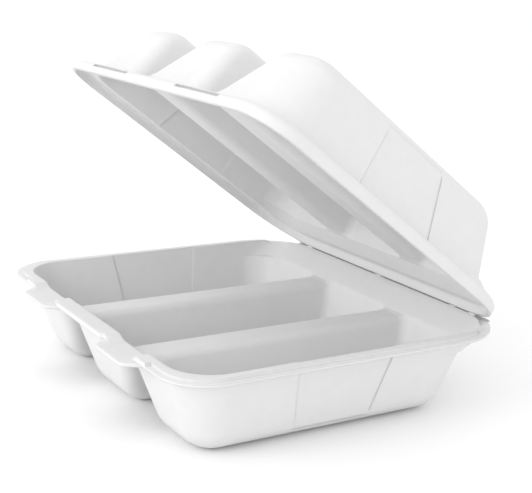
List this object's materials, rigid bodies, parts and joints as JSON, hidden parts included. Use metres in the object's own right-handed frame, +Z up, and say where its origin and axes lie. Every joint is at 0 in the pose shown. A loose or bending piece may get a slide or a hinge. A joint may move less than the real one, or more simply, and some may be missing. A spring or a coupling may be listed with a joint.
{
  "type": "hinged food container",
  "caption": "White hinged takeaway container, compartment tray and matching domed lid swung partly open, with front latch tabs and slots.",
  "frame": {"origin": "on the floor under the plan centre of the tray's rim", "axes": "+Z up, -Y towards the latch tabs at the front, +Y towards the hinge, X along the hinge"},
  "size_m": [0.21, 0.188, 0.1699],
  "materials": {
    "sheet": "satin"
  },
  "bodies": {
    "tray": {"base_tray": "sheet"},
    "lid": {"lid": "sheet"}
  },
  "joints": [
    {"name": "lid_hinge", "type": "hinge", "parent": "tray", "child": "lid", "pos_m": [0, 0.09, 0.041], "axis": [-1, 0, 0], "range_deg": [-36.4, 137]}
  ]
}
